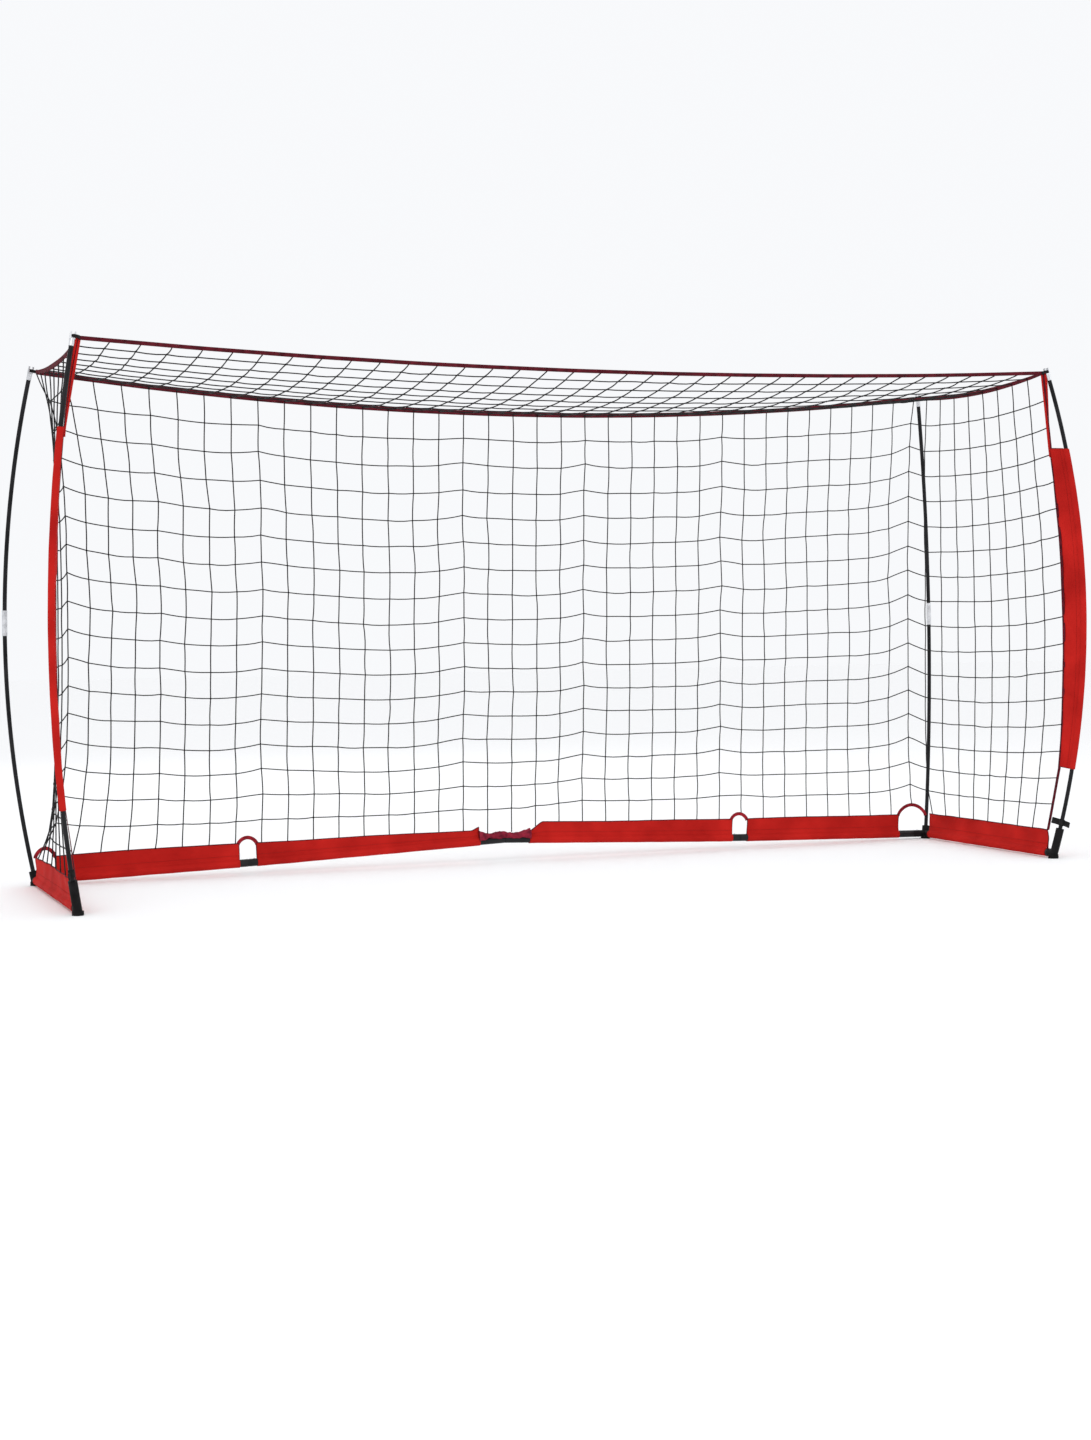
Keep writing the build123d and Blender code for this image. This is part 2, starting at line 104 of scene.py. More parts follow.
# Cloth and webbing.
CLOTH_THICKNESS = 0.0009
COVER_THICKNESS = 0.0010
STRAP_THICKNESS = 0.0018
CROSSBAR_WIDTH = 0.013
REAR_STRAP_WIDTH = 0.017
NARROW_WEBBING = 0.0105
ARCH_WIDTH = 0.0135
GUSSET_WIDTH = 0.024
TIE_BELOW, TIE_ABOVE = -0.002, 0.021
TIE_REACH = 0.040
TIE_TAIL = 0.024
LOOP_LENGTH = 0.026
LOOP_WIDTH = 0.0175
LOOP_OVERLAP = 0.004         # how far the net's corner reaches into its loop
LOOP_DROOP = 0.002
BAND_RIPPLE = 0.0050
POLE_SLEEVE_RIPPLE = 0.0030
TUBE_CLEAR = 0.0012          # between a ground tube and its sleeve
EDGE_PIPING_R = 0.0021
END_PIPING_R = 0.0019
STITCH_R = 0.0005
FIN_COLUMNS = 9              # points across one layer of a sleeve's fin
SEAM_COLUMN = 6              # the one along which a sleeve is stitched

joints = {j["name"]: j for j in frame["joints"]}


def pole_point(side, end, distance):
    """A point on a bent pole's centreline at a distance along it from the foot, and its tangent."""
    joint = joints[f"{ENDS[end]}_pole_lift_{SIDES[side]}"]
    centre = Vector(joint["pos_m"])
    foot = Vector((side * HALF_WIDTH, end * HALF_DEPTH, POLE_FOOT_Z))
    arm = foot - centre
    axis = Vector(joint["axis"]).normalized()
    arm -= axis * arm.dot(axis)
    turned = Matrix.Rotation(distance / arm.length, 3, axis) @ arm
    tangent = axis.cross(turned).normalized()
    return np.array(centre + turned), np.array(tangent)


def rear_lift(x):
    """Height of the rear tubes' centreline above its corners: two straight slopes a side."""
    spots = [-HALF_WIDTH, CENTRE_X - QUARTER_X, CENTRE_X, CENTRE_X + QUARTER_X, HALF_WIDTH]
    return float(np.interp(x, spots, [0, QUARTER_LIFT, CENTRE_LIFT, QUARTER_LIFT, 0]))


def fin_top(x):
    """Height of the rear band's upper edge above the tube's centreline: the left inner band sags."""
    spots = [
        -1.70, -1.08, -0.80, -0.45, GAP_LOW - 0.030, GAP_LOW,
        GAP_LOW + 0.012, GAP_HIGH, GAP_HIGH + 0.055, 0.50, 1.10, 1.70,
    ]
    tops = [
        0.081, 0.073, 0.064, 0.054, 0.042, 0.056,
        0.026, 0.030, 0.068, 0.070, 0.076, 0.080,
    ]
    return float(np.interp(x, spots, tops))


CORNER_GAP = {
    -1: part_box("rear_ground_sleeve_left_outer")[0][0] + HALF_WIDTH,
    1: HALF_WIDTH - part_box("rear_ground_sleeve_right_outer")[1][0],
}
QUARTER_HALF = (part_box("gap_arch_right")[1][0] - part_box("gap_arch_right")[0][0]) / 2 + 0.004


def corner_rise(x):
    """How far the webbing arches above the band's upper edge in the gap beside a corner."""
    gap = CORNER_GAP[1 if x > 0 else -1]
    reach = (abs(x) - (HALF_WIDTH - gap)) / gap
    return (0.020 + gap * 0.19) * max(0.0, math.sin(math.pi * min(max(reach, 0.0), 1.0))) ** 0.6


def quarter_rise(x):
    """How far the webbing arches above the band's upper edge over a quarter coupling."""
    off = (abs(x - CENTRE_X) - QUARTER_X) / QUARTER_HALF
    return 0.027 * max(0.0, 1 - off ** 2) ** 0.7


def net_corner(side, end):
    """Where the net's top corner is hooked to the loop on a pole tip."""
    low, high = (np.array(c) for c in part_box(f"corner_loop_{ENDS[end]}_{SIDES[side]}"))
    outer = high[0] if side > 0 else low[0]
    x = outer - side * (LOOP_LENGTH - LOOP_OVERLAP)
    return np.array([x, (low[1] + high[1]) / 2, (low[2] + high[2]) / 2 - LOOP_DROOP])


# ---------------------------------------------------------------- materials

def new_material(name, roughness, **sockets):
    made = bpy.data.materials.new(name)
    made.use_nodes = True
    shader = made.node_tree.nodes["Principled BSDF"]
    shader.inputs["Roughness"].default_value = roughness
    for key, value in sockets.items():
        shader.inputs[key.replace("_", " ")].default_value = value
    return made


def node(made, kind, **values):
    item = made.node_tree.nodes.new(kind)
    for key, value in values.items():
        item.inputs[key].default_value = value
    return item


def link(made, source, socket):
    made.node_tree.links.new(source, socket)


def coordinates(made, scale=(1, 1, 1)):
    place = node(made, "ShaderNodeTexCoord")
    mapping = node(made, "ShaderNodeMapping")
    mapping.inputs["Scale"].default_value = scale
    link(made, place.outputs["Object"], mapping.inputs["Vector"])
    return mapping.outputs["Vector"]


def vary_colour(made, dark, light, scale):
    """Colour that wanders between two tones with a soft noise."""
    noise = node(made, "ShaderNodeTexNoise", Scale=scale, Detail=4.0)
    ramp = node(made, "ShaderNodeValToRGB")
    ramp.color_ramp.elements[0].position = 0.32
    ramp.color_ramp.elements[1].position = 0.68
    ramp.color_ramp.elements[0].color = (*dark, 1)
    ramp.color_ramp.elements[1].color = (*light, 1)
    link(made, coordinates(made), noise.inputs["Vector"])
    link(made, noise.outputs["Fac"], ramp.inputs["Fac"])
    shader = made.node_tree.nodes["Principled BSDF"]
    link(made, ramp.outputs["Color"], shader.inputs["Base Color"])


def vary_roughness(made, low, high, scale):
    noise = node(made, "ShaderNodeTexNoise", Scale=scale, Detail=5.0)
    spread = node(made, "ShaderNodeMapRange")
    spread.inputs["From Min"].default_value = 0.3
    spread.inputs["From Max"].default_value = 0.7
    spread.inputs["To Min"].default_value = low
    spread.inputs["To Max"].default_value = high
    link(made, coordinates(made), noise.inputs["Vector"])
    link(made, noise.outputs["Fac"], spread.inputs["Value"])
    shader = made.node_tree.nodes["Principled BSDF"]
    link(made, spread.outputs["Result"], shader.inputs["Roughness"])


def add_bump(made, height, strength, distance):
    """Chain one more bump in front of the shader's normal."""
    shader = made.node_tree.nodes["Principled BSDF"]
    bump = node(made, "ShaderNodeBump", Strength=strength, Distance=distance)
    link(made, height, bump.inputs["Height"])
    before = shader.inputs["Normal"].links
    if before:
        link(made, before[0].from_socket, bump.inputs["Normal"])
    link(made, bump.outputs["Normal"], shader.inputs["Normal"])


def noise_bump(made, scale, strength, distance, stretch=(1, 1, 1)):
    noise = node(made, "ShaderNodeTexNoise", Scale=scale, Detail=4.0)
    link(made, coordinates(made, stretch), noise.inputs["Vector"])
    add_bump(made, noise.outputs["Fac"], strength, distance)


def weave_bump(made, pitch, strength, distance):
    """Crossed threads: two band waves at right angles, multiplied."""
    waves = []
    for direction in ("X", "Z"):
        wave = node(made, "ShaderNodeTexWave", Scale=1.0, Distortion=0.4)
        wave.bands_direction = direction
        link(made, coordinates(made, (0.314 / pitch,) * 3), wave.inputs["Vector"])
        waves.append(wave.outputs["Fac"])
    product = node(made, "ShaderNodeMath")
    product.operation = "MULTIPLY"
    link(made, waves[0], product.inputs[0])
    link(made, waves[1], product.inputs[1])
    add_bump(made, product.outputs["Value"], strength, distance)


def red_fabric():
    """Coated polyester of the sleeves: fine weave, soft creases, a little dust."""
    made = new_material("red_fabric", 0.7, Specular_IOR_Level=0.04)
    vary_colour(made, (0.38, 0.010, 0.008), (0.54, 0.017, 0.013), 7.0)
    weave_bump(made, 0.0011, 0.25, 0.0004)
    noise_bump(made, 28.0, 0.30, 0.004)
    return made


def webbing_cloth(name, dark, light):
    """Woven strap: ribs across the strap and a brighter worn thread here and there."""
    made = new_material(name, 0.78, Specular_IOR_Level=0.12)
    vary_colour(made, dark, light, 45.0)
    weave_bump(made, 0.0016, 0.5, 0.0006)
    noise_bump(made, 90.0, 0.2, 0.001)
    return made


def braided_cord():
    made = new_material("net_cord", 0.72, Specular_IOR_Level=0.12)
    vary_colour(made, (0.008, 0.008, 0.009), (0.024, 0.023, 0.023), 30.0)
    weave_bump(made, 0.0022, 0.6, 0.0006)
    return made


def coated_steel():
    made = new_material("coated_steel", 0.42, Specular_IOR_Level=0.22)
    vary_colour(made, (0.006, 0.006, 0.007), (0.014, 0.014, 0.015), 18.0)
    vary_roughness(made, 0.30, 0.55, 40.0)
    noise_bump(made, 600.0, 0.12, 0.0004)
    return made


def moulded_black():
    made = new_material("moulded_black", 0.55, Specular_IOR_Level=0.09)
    vary_colour(made, (0.004, 0.004, 0.004), (0.011, 0.010, 0.011), 25.0)
    vary_roughness(made, 0.42, 0.65, 60.0)
    noise_bump(made, 900.0, 0.2, 0.0003)
    return made


def glass_fibre():
    """Poles: dark resin with fibres that run along the rod, and rubbed patches."""
    made = new_material("glass_fibre", 0.3, Specular_IOR_Level=0.12)
    vary_colour(made, (0.006, 0.006, 0.007), (0.018, 0.018, 0.020), 12.0)
    vary_roughness(made, 0.22, 0.42, 30.0)
    noise_bump(made, 300.0, 0.15, 0.0004, stretch=(1, 1, 0.04))
    return made


def brushed_metal():
    made = new_material("brushed_metal", 0.32, Metallic=1.0)
    vary_colour(made, (0.55, 0.56, 0.58), (0.78, 0.79, 0.81), 50.0)
    vary_roughness(made, 0.24, 0.42, 80.0)
    noise_bump(made, 700.0, 0.12, 0.0003, stretch=(1, 1, 0.08))
    return made


RED = red_fabric()
WEBBING = webbing_cloth("dark_red_webbing", (0.050, 0.004, 0.008), (0.13, 0.009, 0.018))
BLACK_WEBBING = webbing_cloth("black_webbing", (0.008, 0.008, 0.008), (0.020, 0.019, 0.019))
CRUMPLED = webbing_cloth("crumpled_webbing", (0.11, 0.006, 0.018), (0.33, 0.020, 0.045))
RED_WEBBING = webbing_cloth("red_webbing", (0.15, 0.006, 0.012), (0.40, 0.016, 0.026))
THREAD = webbing_cloth("thread", (0.16, 0.006, 0.006), (0.24, 0.012, 0.010))
CORD = braided_cord()
STEEL = coated_steel()
MOULDED = moulded_black()
POLE = glass_fibre()
METAL = brushed_metal()

CAD_LOOKS = {
    "side_tube": STEEL,
    "rear_tube": STEEL,
    "coupling_spigot": STEEL,
    "coupling_rivets": METAL,
    "fitting_rivets": METAL,
    "corner_fitting": MOULDED,
    "front_socket": MOULDED,
    "pole_lower": POLE,
    "pole_upper": POLE,
    "pole_ferrule": METAL,
    "pole_tip": METAL,
}


def dress_cad_nodes():
    for name, item in frame["nodes"].items():
        for start, look in CAD_LOOKS.items():
            if name.startswith(start):
                item.data.materials.clear()
                item.data.materials.append(look)


# ---------------------------------------------------------------- mesh helpers

def mesh_object(name, points, faces, look):
    mesh = bpy.data.meshes.new(name)
    mesh.from_pydata([tuple(p) for p in points], [], [tuple(f) for f in faces])
    mesh.update()
    item = bpy.data.objects.new(name, mesh)
    bpy.context.collection.objects.link(item)
    mesh.materials.append(look)
    for polygon in mesh.polygons:
        polygon.use_smooth = True
    return item


def grid_faces(rows, columns, closed=False):
    """Faces of a grid of points stored row by row; closed joins the last column to the first."""
    faces = []
    for i in range(rows - 1):
        for j in range(columns if closed else columns - 1):
            k = (j + 1) % columns
            faces.append((i * columns + j, i * columns + k, (i + 1) * columns + k, (i + 1) * columns + j))
    return faces


def cloth_piece(name, grid, thickness, look):
    """A cloth sheet from a grid of points (rows, columns, 3), given its real thickness."""
    grid = np.asarray(grid)
    rows, columns = grid.shape[:2]
    item = mesh_object(name, grid.reshape(-1, 3), grid_faces(rows, columns), look)
    solid = item.modifiers.new("thickness", "SOLIDIFY")
    solid.thickness = thickness
    solid.offset = 0
    apply_modifiers(item)
    return item


def apply_modifiers(item):
    depsgraph = bpy.context.evaluated_depsgraph_get()
    mesh = bpy.data.meshes.new_from_object(item.evaluated_get(depsgraph))
    item.modifiers.clear()
    item.data = mesh
    for polygon in mesh.polygons:
        polygon.use_smooth = True


def unit(vectors):
    vectors = np.asarray(vectors, float)
    return vectors / np.maximum(np.linalg.norm(vectors, axis=-1, keepdims=True), 1e-9)


def across(path):
    """Two unit vectors across a path at each of its points, for a tube's rings."""
    tangents = unit(np.gradient(path, axis=0))
    lean = UP if abs(tangents[len(path) // 2][2]) < 0.8 else BACK
    first = unit(np.cross(tangents, lean))
    return first, np.cross(first, tangents)


class Mesh:
    """Gathers tubes and knots so that many cords become one piece."""

    def __init__(self):
        self.points = []
        self.faces = []
        self.count = 0

    def add(self, points, faces):
        self.points.append(points)
        self.faces += [tuple(i + self.count for i in f) for f in faces]
        self.count += len(points)

    def tube(self, path, radius, sides=6):
        path = np.asarray(path, float)
        first, second = across(path)
        angles = np.linspace(0, 2 * math.pi, sides, endpoint=False)
        rings = (
            path[:, None]
            + radius * np.cos(angles)[None, :, None] * first[:, None]
            + radius * np.sin(angles)[None, :, None] * second[:, None]
        )
        faces = grid_faces(len(path), sides, closed=True)
        faces += [tuple(range(sides))[::-1], tuple(range((len(path) - 1) * sides, len(path) * sides))]
        self.add(rings.reshape(-1, 3), faces)

    def knot(self, place, radius):
        """A lumpy knot: a squashed octahedron with one subdivision."""
        turn = np.linalg.qr(rng.normal(size=(3, 3)))[0]
        shape = KNOT_POINTS * radius * rng.uniform(0.85, 1.15, (len(KNOT_POINTS), 1))
        self.add(place + (shape * [1.25, 0.9, 1.0]) @ turn.T, KNOT_FACES)

    def piece(self, name, look):
        return mesh_object(name, np.concatenate(self.points), self.faces, look)


def knot_shape():
    """Points and faces of an octahedron cut once, on the unit ball."""
    tips = ((1, 0, 0), (-1, 0, 0), (0, 1, 0), (0, -1, 0), (0, 0, 1), (0, 0, -1))
    points = [np.array(p, float) for p in tips]
    big = [(4, 0, 2), (4, 2, 1), (4, 1, 3), (4, 3, 0), (5, 2, 0), (5, 1, 2), (5, 3, 1), (5, 0, 3)]
    halves, faces = {}, []

    def half(a, b):
        key = (min(a, b), max(a, b))
        if key not in halves:
            halves[key] = len(points)
            points.append(unit(points[a] + points[b]))
        return halves[key]

    for a, b, c in big:
        ab, bc, ca = half(a, b), half(b, c), half(c, a)
        faces += [(a, ab, ca), (b, bc, ab), (c, ca, bc), (ab, bc, ca)]
    return np.array(points), faces


KNOT_POINTS, KNOT_FACES = knot_shape()


def waves(seed, count=6):
    """A smooth random function of two lengths in metres, between about -1 and 1."""
    local = np.random.default_rng(seed)
    turns = local.uniform(-1, 1, (count, 2)) * 2 * math.pi
    phases = local.uniform(0, 2 * math.pi, count)

    def value(a, b):
        total = sum(np.sin(t[0] * a + t[1] * b + p) for t, p in zip(turns, phases))
        return total / math.sqrt(count)

    return value


# ---------------------------------------------------------------- where each stretch rides

# The rear run comes apart at five couplings. A long soft piece is cut into stretches, and each stretch lies
# across one coupling.
CUTS = [-1.40, -0.50, 0.50, 1.40]
STRETCHES = [
    ("rear_left_outer", "left_end", -1.45, -1.74),
    ("rear_left_inner", "rear_left_outer", -0.60, -1.35),
    ("rear_left_inner", "rear_right_inner", -0.45, 0.45),
    ("rear_right_inner", "rear_right_outer", 0.60, 1.35),
    ("rear_right_outer", "right_end", 1.45, 1.74),
]


def bend(item):
    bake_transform(item)


def end_body(side):
    return f"{SIDES[side]}_end"


# ---------------------------------------------------------------- the net's edges

def strap_line(end, sag, pull):
    """The curve of a top strap between the two net corners, as a function of 0 to 1."""
    left, right = net_corner(-1, end), net_corner(1, end)

    def place(t):
        droop = 4 * t * (1 - t)
        return left + (right - left) * t - UP * sag * droop - BACK * pull * droop

    return place


crossbar_line = strap_line(-1, CROSSBAR_SAG, 0.0)
rear_line = strap_line(1, REAR_SAG, REAR_PULL)


def sleeve_width(distance):
    """The pole sleeve's width at a distance along the pole: it narrows towards both its ends."""
    spots = [SLEEVE_LOW, 0.60, 0.95, 1.30, SLEEVE_HIGH]
    return float(np.interp(distance, spots, [0.050, 0.069, 0.079, 0.074, 0.060]))


def inward(side):
    return np.array([-side * math.sin(POLE_SLEEVE_AZIMUTH[side]), math.cos(POLE_SLEEVE_AZIMUTH[side]), 0.0])


def front_edge_points(side, count):
    """The net's front edge from its foot to its top corner: along the inner edge of the pole sleeve."""
    foot = np.array([side * HALF_WIDTH, -HALF_DEPTH + FRONT_FOOT_SETBACK, TUBE_Z + BAND_TOP])
    spots = [foot]
    for distance in np.linspace(SLEEVE_LOW, SLEEVE_HIGH, 12):
        place, _ = pole_point(side, -1, distance)
        spots.append(place + inward(side) * (sleeve_width(distance) + 0.002))
    spots.append(net_corner(side, -1))
    return resample(np.array(spots), count)


def resample(path, count):
    """The same line with evenly spaced points."""
    along = np.concatenate([[0], np.cumsum(np.linalg.norm(np.diff(path, axis=0), axis=1))])
    at = np.linspace(0, along[-1], count)
    return np.stack([np.interp(at, along, path[:, k]) for k in range(3)], axis=1)


# ---------------------------------------------------------------- the net, solved as one taut web

class Web:
    """Knots joined by cords under tension, with some knots held. The free ones settle in one solve."""

    def __init__(self):
        self.places = []
        self.held = []
        self.cords = []
        self.firmness = {}

    def knot(self, place, held):
        self.places.append(np.array(place, float))
        self.held.append(held)
        return len(self.places) - 1

    def cord(self, a, b):
        self.cords.append((a, b))

    def settle(self, load, firm):
        """Balance each knot's cords against its weight. firm holds it near where it was laid out."""
        places, held = np.array(self.places), np.array(self.held)
        free = np.flatnonzero(~held)
        number = {k: i for i, k in enumerate(free)}
        keep = np.array([self.firmness.get(k, firm) for k in free])
        matrix = np.diag(keep)
        target = keep[:, None] * places[free]
        target[:, 2] -= load
        pulls = rng.uniform(0.95, 1.05, len(self.cords))
        for (a, b), pull in zip(self.cords, pulls):
            for one, other in ((a, b), (b, a)):
                if held[one]:
                    continue
                matrix[number[one], number[one]] += pull
                if held[other]:
                    target[number[one]] += pull * places[other]
                else:
                    matrix[number[one], number[other]] -= pull
        places[free] = np.linalg.solve(matrix, target)
        self.places = places


def foot_height(x):
    """Height of the rear panel's lower edge, on the bands and the arches."""
    return TUBE_Z + rear_lift(x) + fin_top(x) + corner_rise(x) + quarter_rise(x)


def patch(near, far, low, high):
    """Points of a panel filled in between its four edges."""
    rows, columns = len(near), len(low)
    u, v = np.linspace(0, 1, columns)[None, :, None], np.linspace(0, 1, rows)[:, None, None]
    sides = (1 - u) * near[:, None] + u * far[:, None]
    ends = (1 - v) * low[None] + v * high[None]
    corners = (
        (1 - u) * (1 - v) * low[0] + u * (1 - v) * low[-1] + (1 - u) * v * high[0] + u * v * high[-1]
    )
    return sides + ends - corners


def build_web():
    """Lay out the rear, roof and side panels on shared edges, and settle them."""
    web = Web()
    steps_x = np.linspace(0, 1, MESH_COLUMNS + 1)
    steps_y = np.linspace(0, 1, MESH_DEPTH + 1)
    front_top = np.array([crossbar_line(t) for t in steps_x])
    rear_top = np.array([rear_line(t) for t in steps_x])
    foot_x = np.linspace(CORNER_GAP[-1] / 2 - HALF_WIDTH, HALF_WIDTH - CORNER_GAP[1] / 2, MESH_COLUMNS + 1)
    rear_foot = np.array([[x, HALF_DEPTH, foot_height(x)] for x in foot_x])
    side_top, side_foot, front_up, rear_up = {}, {}, {}, {}
    for side in SIDES:
        ends = net_corner(side, -1), net_corner(side, 1)
        side_top[side] = np.array(
            [ends[0] + (ends[1] - ends[0]) * t - UP * 4 * SIDE_SAG * t * (1 - t) for t in steps_y]
        )
        front_up[side] = front_edge_points(side, MESH_ROWS + 1)
        start, finish = front_up[side][0], rear_foot[0 if side < 0 else -1]
        corner = np.array([side * HALF_WIDTH, HALF_DEPTH - CORNER_SETBACK, TUBE_Z + BAND_TOP])
        side_foot[side] = resample(np.array([start, corner, finish]), MESH_DEPTH + 1)
        rear_up[side] = finish + (ends[1] - finish) * np.linspace(0, 1, MESH_ROWS + 1)[:, None]

    index = {}

    def place_panel(points, held_edges):
        rows, columns = points.shape[:2]
        number = np.zeros((rows, columns), int)
        for i in range(rows):
            for j in range(columns):
                key = tuple(np.round(points[i, j], 5))
                edge = {"low": i == 0, "high": i == rows - 1, "near": j == 0, "far": j == columns - 1}
                held = any(edge[e] for e in held_edges)
                if key not in index:
                    index[key] = web.knot(points[i, j], held)
                number[i, j] = index[key]
                web.held[number[i, j]] = web.held[number[i, j]] or held
        for i in range(rows):
            for j in range(columns):
                if j + 1 < columns:
                    web.cord(number[i, j], number[i, j + 1])
                if i + 1 < rows:
                    web.cord(number[i, j], number[i + 1, j])
        return number

    numbers = {
        "rear": place_panel(patch(rear_up[-1], rear_up[1], rear_foot, rear_top), ("low", "high")),
        "roof": place_panel(
            patch(side_top[-1], side_top[1], front_top, rear_top), ("low", "high", "near", "far")
        ),
    }
    for side in SIDES:
        numbers[SIDES[side]] = place_panel(
            patch(front_up[side], rear_up[side], side_foot[side], side_top[side]), ("low", "high", "near")
        )
    for k in (*numbers["rear"][:, 0], *numbers["rear"][:, -1]):
        web.firmness[k] = FOLD_FIRM
    web.settle(load=KNOT_LOAD, firm=KNOT_FIRM)
    crease(web, numbers["rear"])
    return {name: web.places[number] for name, number in numbers.items()}


def crease(web, number):
    """Folding marks of the rear panel: every row of knots rises at the same few columns and at both folds."""
    rows, columns = number.shape
    shape, drift = waves(5, 8), waves(6, 8)
    marks = {0: 0.8, 4: 0.4, 8: 0.7, 16: 0.6, 21: 1.0, 27: 1.0, 36: 1.0}
    for j in range(columns):
        peak = sum(size * math.exp(-abs(j - mark) * 1.15) for mark, size in marks.items())
        for i in range(1, rows - 1):
            fade = min(1.0, i / 3) * min(1.0, (rows - 1 - i) / 2)
            rise = 0.024 * peak + 0.0050 * shape(j * 0.16, i * 0.02)
            lean = 0.0035 * drift(j * 0.05, i * 0.35) + 0.0012 * shape(j * 2.3, i * 1.7)
            if j in (0, columns - 1):
                lean = 0.0
            web.places[number[i, j]] += (UP * rise + RIGHT * lean) * fade


def wavy(a, b, steps=3):
    """A cord between two knots: nearly straight, with a little slack of its own."""
    t = np.linspace(0, 1, steps + 1)[:, None]
    slack = rng.uniform(0.0, 0.0022)
    side = rng.normal(size=3) * 0.0009
    return a + (b - a) * t + 4 * t * (1 - t) * (side - UP * slack)


def cord_run(points):
    """The path of one cord through a row of knots."""
    parts = [wavy(a, b)[:-1] for a, b in zip(points[:-1], points[1:])]
    return np.concatenate(parts + [points[-1:]])


def net_piece(name, grid, first, last, skip):
    """Cords and knots of a panel between two columns. skip names edges that carry no cord."""
    bundle = Mesh()
    rows, columns = grid.shape[:2]
    for i in range(rows):
        if ("low" in skip and i == 0) or ("high" in skip and i == rows - 1):
            continue
        bundle.tube(cord_run(grid[i, first:last + 1]), NET_R)
    for j in range(first, last + 1):
        if j == last and last < columns - 1:
            continue
        if ("near" in skip and j == 0) or ("far" in skip and j == columns - 1):
            continue
        bundle.tube(cord_run(grid[:, j]), NET_R)
        for i in range(1, rows - 1):
            bundle.knot(grid[i, j], KNOT_R)
    return bundle.piece(name, CORD)


def cut_columns(grid):
    """Column numbers at which a long panel is cut, one at each of the CUTS."""
    xs = grid[grid.shape[0] // 2, :, 0]
    inner = [int(np.argmin(np.abs(xs - c))) for c in CUTS]
    return [0, *inner, grid.shape[1] - 1]


def make_nets(panels):
    for panel, skip in (("rear", ("low", "high")), ("roof", ("low", "high", "near", "far"))):
        edges = cut_columns(panels[panel])
        for number in range(len(STRETCHES)):
            piece = net_piece(
                f"net_{panel}_{number + 1}", panels[panel], edges[number], edges[number + 1], skip=skip
            )
            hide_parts(f"net_{panel}")
            bend(piece)
    for side, name in SIDES.items():
        grid = panels[name]
        piece = net_piece(f"net_{name}", grid, 0, grid.shape[1] - 1, skip=("low", "high", "near", "far"))
        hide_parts(f"net_side_{name}")
        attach(piece, end_body(side))


# ---------------------------------------------------------------- straps and webbing

def ribbon_grid(path, widths, direction, seed, ripple=0.0015):
    """Points of a strap: path is its centre, direction the way its width runs at each point."""
    path = np.asarray(path)
    widths = np.broadcast_to(widths, len(path))
    direction = unit(np.broadcast_to(direction, path.shape))
    face = unit(np.cross(np.gradient(path, axis=0), direction))
    shape = waves(seed)
    along = np.concatenate([[0], np.cumsum(np.linalg.norm(np.diff(path, axis=0), axis=1))])
    steps = np.linspace(-0.5, 0.5, 5)
    offsets = steps[None, :] * widths[:, None]
    bumps = shape(along[:, None] * 3.1, offsets * 20) * ripple
    return path[:, None] + offsets[..., None] * direction[:, None] + bumps[..., None] * face[:, None]


def strap(name, path, widths, direction, look, seed, ripple=0.0015):
    piece = cloth_piece(name, ribbon_grid(path, widths, direction, seed, ripple), STRAP_THICKNESS, look)
    return piece


def make_top_straps():
    for name, line, width in (
        ("crossbar_strap", crossbar_line, CROSSBAR_WIDTH),
        ("rear_top_strap", rear_line, REAR_STRAP_WIDTH),
    ):
        points = np.array([line(t) for t in np.linspace(0, 1, 361)])
        cuts = [0] + [int(np.argmin(np.abs(points[:, 0] - c))) for c in CUTS] + [len(points) - 1]
        for number in range(len(STRETCHES)):
            stretch = points[cuts[number]:cuts[number + 1] + 1]
            piece = strap(f"{name}_{number + 1}", stretch, width, UP, WEBBING, 11)
            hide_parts(name)
            bend(piece)


def make_side_webbing():
    """Top strap of each side, the binding down the net's front edge, and the red gusset at its top."""
    for side, name in SIDES.items():
        t = np.linspace(0, 1, 60)
        ends = net_corner(side, -1), net_corner(side, 1)
        top = ends[0] + (ends[1] - ends[0]) * t[:, None] - UP * (4 * SIDE_SAG * t * (1 - t))[:, None]
        widths = 0.010 + 0.008 * np.sin(math.pi * t) ** 0.7
        piece = strap(f"side_strap_{name}", top, widths, UP, WEBBING, 21 + side)
        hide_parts(f"side_webbing_{name}")
        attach(piece, end_body(side))

        edge = front_edge_points(side, 160)
        piece = strap(f"edge_binding_{name}", edge, NARROW_WEBBING, inward(side), WEBBING, 31 + side)
        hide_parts(f"side_webbing_{name}")
        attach(piece, end_body(side))

        sleeve_top = pole_point(side, -1, SLEEVE_HIGH)[0][2] - 0.03
        upper = edge[edge[:, 2] > sleeve_top]
        outward = unit(np.array([side * 1.0, -0.4, 0.0]))
        widths = np.linspace(0.005, GUSSET_WIDTH, len(upper))
        path = upper + outward * (widths / 2 - 0.008)[:, None]
        piece = strap(f"edge_gusset_{name}", path, widths, outward, RED, 36 + side)
        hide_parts(f"side_webbing_{name}")
        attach(piece, end_body(side))


def ring_path(length, width):
    """A flat stadium ring in local x and y, as wide as width and as long as length."""
    r = width / 2
    straight = length / 2 - r
    angles = np.linspace(-math.pi / 2, math.pi / 2, 24)
    right = np.stack([straight + r * np.cos(angles), r * np.sin(angles)], axis=1)
    path = np.concatenate([right, -right])
    return np.concatenate([path, path[:1]])


